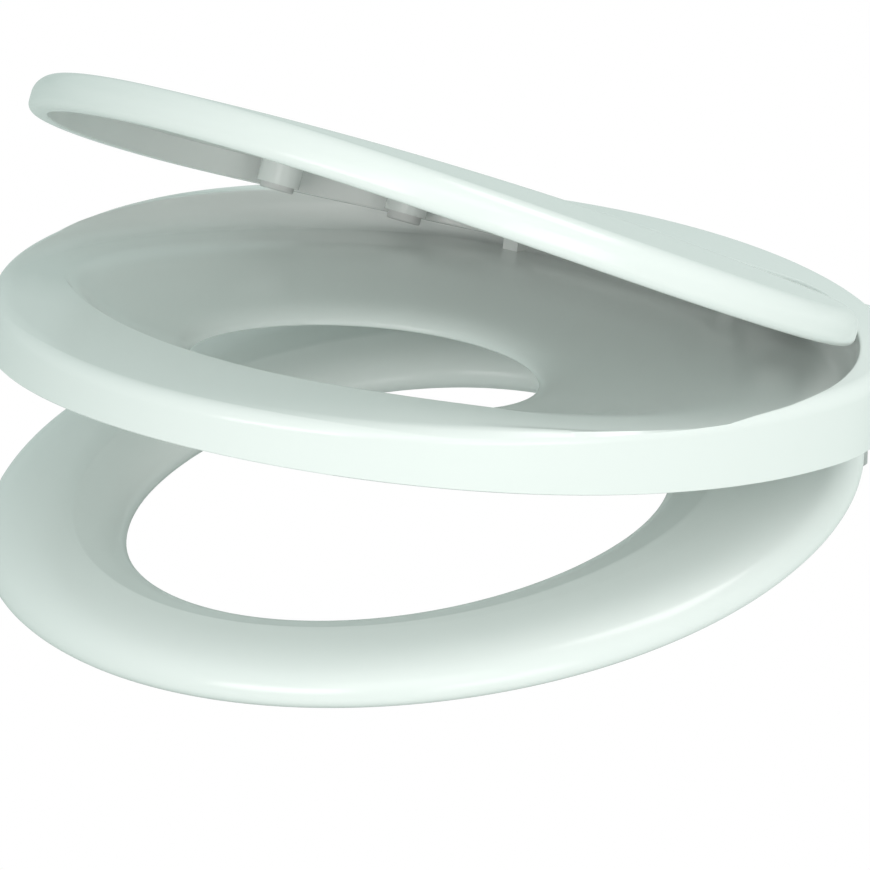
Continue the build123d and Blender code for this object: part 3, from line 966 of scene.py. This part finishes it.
@dataclass
class Lid:
    """The thick domed lid with rounded edges and an open underside.

    Args:
        inset: how far it is pulled in from the child seat's outline.
        back: straight back edge.
        corner: radius of its rear corners.
        low: lower edge at the middle line.
        top: height of the crest.
        across: radius of the top across the lid.
        along: radius of the top along the lid.
        shoulder: radius of the upper edge.
        foot_round: radius of the lower edge.
        rim: width of the rim round the hollow.
        wall: thickness of the top.
        gap: play round the ears.
        rib: width of the ribs that hold the pins.
        bosses: (x, y, reach) of the buffer bosses of the right half.
    """

    inset: float = 10.0
    back: float = -82.6
    corner: float = 42.0
    low: float = 24.5
    top: float = 44.8
    across: float = 1030.0
    along: float = 4200.0
    shoulder: float = 8.0
    foot_round: float = 4.5
    rim: float = 9.0
    wall: float = 4.0
    gap: float = 0.6
    rib: float = 6.4
    bosses: tuple = ((139.8, -175.0, 14.0), (105.2, -118.0, 13.5))

    def ring(self, count: int) -> np.ndarray:
        """Outline sampled evenly along its length.

        Args:
            count: how many points.

        Returns:
            Array of (count, 2).
        """
        p = leaf_outline(self.inset, self.back, self.corner)
        p = np.concatenate([p, p[:1]])
        t = np.concatenate([[0], np.cumsum(np.linalg.norm(np.diff(p, axis=0), axis=1))])
        s = np.linspace(0, t[-1], count + 1)[:-1]
        return np.stack([np.interp(s, t, p[:, 0]), np.interp(s, t, p[:, 1])], -1)

    def foot(self, points: np.ndarray) -> np.ndarray:
        """Height of the arched lower edge.

        Args:
            points: places, (n, 2).

        Returns:
            Heights.
        """
        return self.low - drop(points[:, 0], LID_ARCH)

    def build(self) -> tuple[bpy.types.Object, bpy.types.Object]:
        """Build the shell from its outline inwards, cut the ear slots and add the ribs and bosses.

        Returns:
            The shell and its ribs.
        """
        leaf = lid_leaf()
        edge = self.ring(520)
        along = np.roll(edge, -1, axis=0) - np.roll(edge, 1, axis=0)
        along /= np.linalg.norm(along, axis=1)[:, None]
        inward = np.stack([-along[:, 1], along[:, 0]], -1)
        crest = (self.back + CHILD.front + self.inset) / 2
        rows: list[np.ndarray] = []

        def roof(p: np.ndarray, down: float = 0.0) -> np.ndarray:
            """Height of the domed top, or of a surface so far below it."""
            return dome(p[:, 0], p[:, 1], self.top - down, crest, self.across, self.along)

        def put(p: np.ndarray, z: np.ndarray) -> None:
            """Add a row of points at these heights."""
            rows.append(np.column_stack([p, z]))

        def towards(start: np.ndarray, share: float) -> np.ndarray:
            """Points moved a share of the way to the crest."""
            return start + (np.array([0.0, crest]) - start) * share

        shoulder = edge + inward * self.shoulder
        for share in np.linspace(0.985, 0, 34):
            p = towards(shoulder, share)
            put(p, roof(p))
        for turn in np.radians(np.linspace(0, 90, 14))[1:]:
            p = edge + inward * self.shoulder * (1 - math.sin(turn))
            put(p, roof(p) - self.shoulder * (1 - math.cos(turn)))
        upper = rows[-1][:, 2]
        lower = self.foot(edge)
        for share in (0.25, 0.5, 0.75):
            put(edge, upper + (lower + self.foot_round - upper) * share)
        for turn in np.radians(np.linspace(0, 90, 10)):
            p = edge + inward * self.foot_round * (1 - math.cos(turn))
            put(p, self.foot(p) + self.foot_round * (1 - math.sin(turn)))
        for away, lift in ((self.rim - 0.5, 0.0), (self.rim, 0.5)):
            p = edge + inward * away
            put(p, self.foot(p) + lift)
        p = edge + inward * self.rim
        ceiling = roof(p, self.wall)
        for share in (0.5, 0.97):
            put(p, self.foot(p) + 0.5 + (ceiling - self.foot(p) - 0.5) * share)
        for share in np.concatenate([[0.004], np.linspace(0.02, 0.985, 26)]):
            q = towards(p, share)
            put(q, roof(q, self.wall))
        mesh = Mesher()
        mesh.loop(leaf.world(np.array(rows)), closed=False)
        made = mesh.make("lid_shell", PORCELAIN)
        cut, inside = Mesher(), Mesher()
        y, z = LID_AXIS
        half, clear = EAR_WIDTH / 2 + self.gap, EAR_RADIUS + self.gap
        for side in (-1, 1):
            left, right = side * EAR_PLACE - half, side * EAR_PLACE + half
            cut.box(leaf, (left, y - clear, z - 30.0), (right, y + 20.0, z + clear))
            for near in (left - self.rib, right):
                inside.box(leaf, (near, y - 9.0, z - 6.0), (near + self.rib, y + 3.0, z + 6.0))
            inside.box(leaf, (left, y - 9.0, z + clear), (right, y + 3.0, z + 6.0))
            inside.box(leaf, (left, y - 9.0, z - 6.0), (right, y - clear, z + clear))
            for x, v, reach in self.bosses:
                foot = float(self.foot(np.array([[x, v]]))[0])
                inside.pillar(leaf, side * x, v, foot, foot + reach, BOSS_RADIUS)
        slot = cut.make("lid_slots", PORCELAIN)
        boolean = made.modifiers.new("ear_slots", "BOOLEAN")
        boolean.operation = "DIFFERENCE"
        boolean.solver = "EXACT"
        boolean.object = slot
        settle(made)
        bpy.data.objects.remove(slot)
        ribs = inside.make("lid_ribs", PORCELAIN)
        return made, ribs


def settle(obj: bpy.types.Object) -> None:
    """Make an object's modifiers part of its mesh.

    Args:
        obj: the object.
    """
    graph = bpy.context.evaluated_depsgraph_get()
    mesh = bpy.data.meshes.new_from_object(obj.evaluated_get(graph))
    obj.modifiers.clear()
    obj.data = mesh


@dataclass
class Fittings:
    """Posts, pins, bushes, buffers and pan fixings, which keep their CAD form."""

    def dress(self, nodes: dict[str, bpy.types.Object]) -> None:
        """Give every small piece its finish.

        Args:
            nodes: the CAD nodes by name.
        """
        for name, node in nodes.items():
            finish = self.finish(name)
            node.data.materials.clear()
            node.data.materials.append(finish.material())
            log.info("dressed %s as %s", name, finish.name)

    @staticmethod
    def finish(name: str) -> Finish:
        """Finish of a node by its name.

        Args:
            name: node name.

        Returns:
            The finish.
        """
        if name in ("adult_seat", "child_seat", "lid"):
            return PORCELAIN
        if "buffer" in name or "gasket" in name or "cone_washer" in name:
            return RUBBER
        if "pin" in name or "stud" in name:
            return STEEL
        if "bush" in name or "nut" in name:
            return PLAIN
        return HINGE


@dataclass(frozen=True)
class Lamp:
    """One soft light: its place and size in m, and its power in W."""

    name: str
    place: tuple[float, float, float]
    size: tuple[float, float]
    power: float


@dataclass
class Studio:
    """Floor, light, background and camera.

    Args:
        azimuth: camera's turn to the right, degrees.
        elevation: camera's height, degrees.
        aim: point that the camera looks at, mm.
        distance: camera's distance from it, mm.
        lens: focal length, mm.
        lamps: a key from the right, a low light under the lid, one from behind and one from the front.
        lamp_tint: colour of their light.
        lit_point: point that they face, m.
        surroundings: colour of the light all round.
        floor_tint: colour that the floor reflects.
        floor_half: half the floor's side, m.
        floor_level: its height, m.
    """

    azimuth: float = 35.5
    elevation: float = 24.8
    aim: tuple[float, float, float] = (-26.0, -199.5, 15.2)
    distance: float = 2514.0
    lens: float = 231.0
    lamps: tuple[Lamp, ...] = (
        Lamp("key", (1.41, -1.23, 1.26), (1.4, 0.9), 5.0),
        Lamp("low", (1.95, -0.8, 0.34), (1.1, 0.5), 5.0),
        Lamp("back", (0.9, 0.9, 1.7), (1.0, 1.0), 11.0),
        Lamp("front", (0.6, -2.0, 0.74), (1.2, 0.5), 9.0),
    )
    lamp_tint: tuple[float, float, float] = (1.0, 0.94, 0.93)
    lit_point: tuple[float, float, float] = (0.0, -0.24, 0.06)
    surroundings: tuple[float, float, float] = (0.54, 0.635, 0.607)
    floor_tint: tuple[float, float, float] = (0.72, 0.76, 0.745)
    floor_half: float = 12.0
    floor_level: float = -0.048

    def build(self) -> None:
        """Put up the studio."""
        self.floor()
        self.world()
        self.lights()
        self.camera()

    def floor(self) -> None:
        """Plain pale floor under the studs that looks white to the camera."""
        mesh = bpy.data.meshes.new("floor")
        s, z = self.floor_half, self.floor_level
        mesh.from_pydata([(-s, -s, z), (s, -s, z), (s, s, z), (-s, s, z)], [], [[0, 1, 2, 3]])
        made = bpy.data.objects.new("floor", mesh)
        bpy.context.scene.collection.objects.link(made)
        paint = bpy.data.materials.new("floor_white")
        paint.use_nodes = True
        tree = paint.node_tree
        tree.nodes.clear()
        out = tree.nodes.new("ShaderNodeOutputMaterial")
        mix = tree.nodes.new("ShaderNodeMixShader")
        path = tree.nodes.new("ShaderNodeLightPath")
        plain = tree.nodes.new("ShaderNodeBsdfDiffuse")
        plain.inputs["Color"].default_value = (*self.floor_tint, 1)
        white = tree.nodes.new("ShaderNodeEmission")
        white.inputs["Color"].default_value = (1, 1, 1, 1)
        tree.links.new(path.outputs["Is Camera Ray"], mix.inputs[0])
        tree.links.new(plain.outputs[0], mix.inputs[1])
        tree.links.new(white.outputs[0], mix.inputs[2])
        tree.links.new(mix.outputs[0], out.inputs[0])
        mesh.materials.append(paint)

    def world(self) -> None:
        """White background for the camera, soft grey-green surroundings for the light."""
        world = bpy.data.worlds.new("studio")
        bpy.context.scene.world = world
        world.use_nodes = True
        tree = world.node_tree
        tree.nodes.clear()
        out = tree.nodes.new("ShaderNodeOutputWorld")
        back = tree.nodes.new("ShaderNodeBackground")
        mix = tree.nodes.new("ShaderNodeMix")
        mix.data_type = "RGBA"
        path = tree.nodes.new("ShaderNodeLightPath")
        mix.inputs["A"].default_value = (*self.surroundings, 1)
        mix.inputs["B"].default_value = (1, 1, 1, 1)
        tree.links.new(path.outputs["Is Camera Ray"], mix.inputs["Factor"])
        tree.links.new(mix.outputs["Result"], back.inputs["Color"])
        tree.links.new(back.outputs[0], out.inputs[0])

    def lights(self) -> None:
        """Hang the lamps, each turned towards the object."""
        for lamp in self.lamps:
            light = bpy.data.lights.new(lamp.name, "AREA")
            light.shape = "RECTANGLE"
            light.size, light.size_y = lamp.size
            light.energy = lamp.power
            light.color = self.lamp_tint
            made = bpy.data.objects.new(lamp.name, light)
            made.location = lamp.place
            towards = Vector(self.lit_point) - Vector(lamp.place)
            made.rotation_euler = towards.to_track_quat("-Z", "Y").to_euler()
            bpy.context.scene.collection.objects.link(made)

    def camera(self) -> None:
        """Long-lens camera at the photo's angle."""
        lens = bpy.data.cameras.new("camera")
        lens.lens = self.lens
        lens.sensor_width = 36.0
        lens.clip_end = 50.0
        made = bpy.data.objects.new("camera", lens)
        az, el = math.radians(self.azimuth), math.radians(self.elevation)
        back = Vector((math.sin(az) * math.cos(el), -math.cos(az) * math.cos(el), math.sin(el)))
        made.location = (Vector(self.aim) + back * self.distance) * MM
        made.rotation_euler = (-back).to_track_quat("-Z", "Y").to_euler()
        bpy.context.scene.collection.objects.link(made)
        bpy.context.scene.camera = made


def main() -> None:
    """Build the looks round the frame."""
    logging.basicConfig(level=logging.INFO)
    scene = bpy.context.scene
    scene.view_settings.view_transform = "Standard"
    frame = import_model()
    Fittings().dress(frame["nodes"])
    ring = AdultSeat().build()
    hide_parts("adult_seat")
    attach(ring, "adult_seat")
    child = ChildSeat().build()
    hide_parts("child_seat")
    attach(child, "child_seat")
    lid, ribs = Lid().build()
    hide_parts("lid")
    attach(lid, "lid")
    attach(ribs, "lid")
    Studio().build()


if __name__ == "__main__":
    main()
